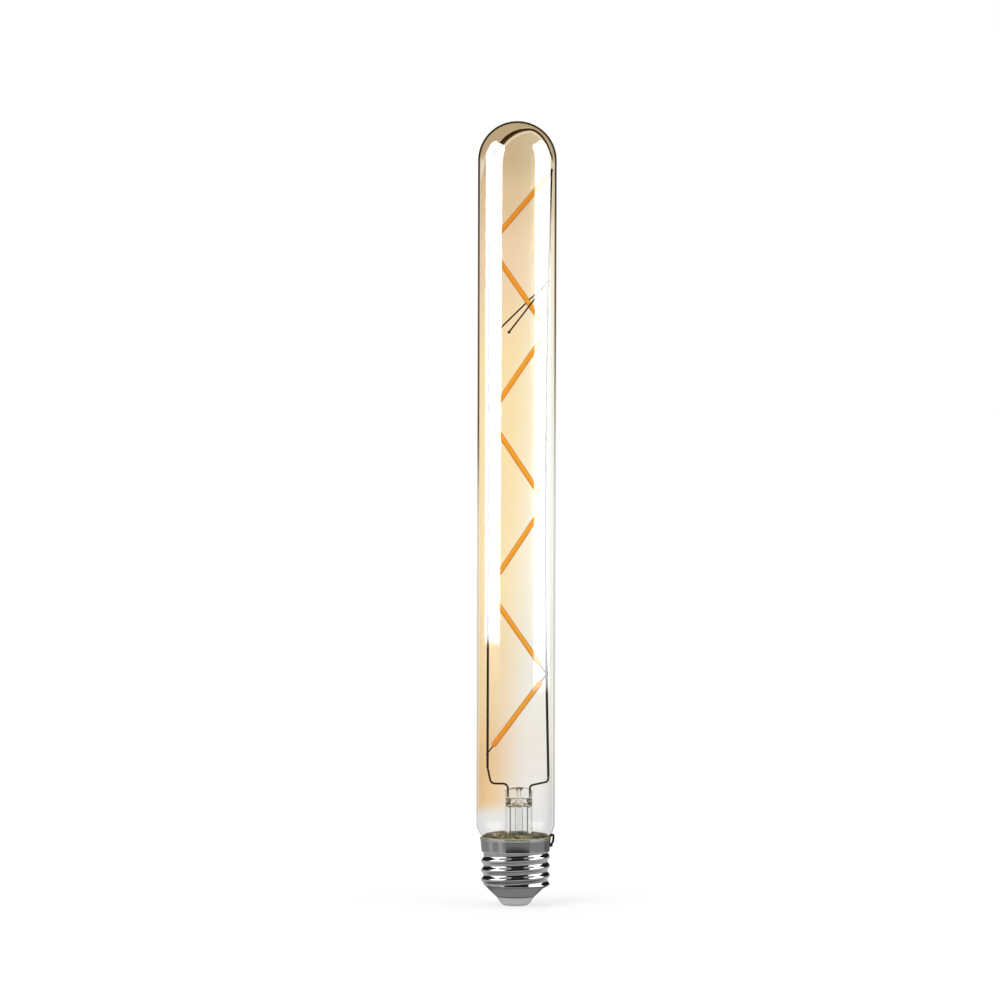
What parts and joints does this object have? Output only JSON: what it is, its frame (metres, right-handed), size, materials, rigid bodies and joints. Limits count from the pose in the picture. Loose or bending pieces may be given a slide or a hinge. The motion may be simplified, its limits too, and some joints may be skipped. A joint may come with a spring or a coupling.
{
  "type": "tubular light bulb",
  "caption": "Long amber glass tube bulb with zigzag filaments between two wire rails and a screw cap.",
  "frame": {"origin": "centre of the flat face of the centre contact, at the very bottom of the cap", "axes": "+Z runs from the contact to the dome along the tube's axis, +X is the side where the cap's wire loops over the rim, and -Y is the side that faces the viewer"},
  "size_m": [0.03, 0.03, 0.3],
  "materials": {
    "amber_glass": "smooth amber-coated glass that fades to clear at the neck",
    "clear_glass": "smooth clear glass",
    "nickel_wire": "drawn nickel-plated wire",
    "copper_wire": "copper-clad wire",
    "tab_strip": "thin plated strip",
    "phosphor_coating": "smooth orange silicone and phosphor coating",
    "plated_shell": "bright nickel plating with faint drawing marks",
    "pale_insulator": "moulded pale grey insulator",
    "contact_metal": "pressed bright contact",
    "cement": "cured olive-brown cement",
    "tinned_wire": "tinned wire and solder",
    "circuit_board": "solder-masked board",
    "can_sleeve": "sleeved metal can",
    "resistor_body": "lacquered body",
    "black_moulding": "moulded package"
  },
  "bodies": {
    "root": {"glass_envelope": "amber_glass", "stem": "clear_glass", "exhaust_tube": "clear_glass", "seal_wire_right": "copper_wire", "seal_wire_left": "copper_wire", "lead_left": "nickel_wire", "lead_right": "nickel_wire", "rail_left": "nickel_wire", "rail_right": "nickel_wire", "outer_lead_right": "copper_wire", "outer_lead_left": "copper_wire", "filament_1": "phosphor_coating", "tab_1_left": "tab_strip", "tab_1_right": "tab_strip", "filament_2": "phosphor_coating", "tab_2_left": "tab_strip", "tab_2_right": "tab_strip", "filament_3": "phosphor_coating", "tab_3_left": "tab_strip", "tab_3_right": "tab_strip", "filament_4": "phosphor_coating", "tab_4_left": "tab_strip", "tab_4_right": "tab_strip", "filament_5": "phosphor_coating", "tab_5_left": "tab_strip", "tab_5_right": "tab_strip", "filament_6": "phosphor_coating", "tab_6_left": "tab_strip", "tab_6_right": "tab_strip", "filament_7": "phosphor_coating", "tab_7_left": "tab_strip", "tab_7_right": "tab_strip", "strut_bead": "nickel_wire", "strut_front": "nickel_wire", "strut_back": "nickel_wire", "cap_shell": "plated_shell", "cap_insulator": "pale_insulator", "centre_contact": "contact_metal", "cap_cement": "cement", "shell_wire": "tinned_wire", "shell_weld": "tinned_wire", "driver_board": "circuit_board", "filter_capacitor": "can_sleeve", "fuse_resistor": "resistor_body", "bridge_rectifier": "black_moulding", "driver_chip": "black_moulding"}
  },
  "joints": []
}
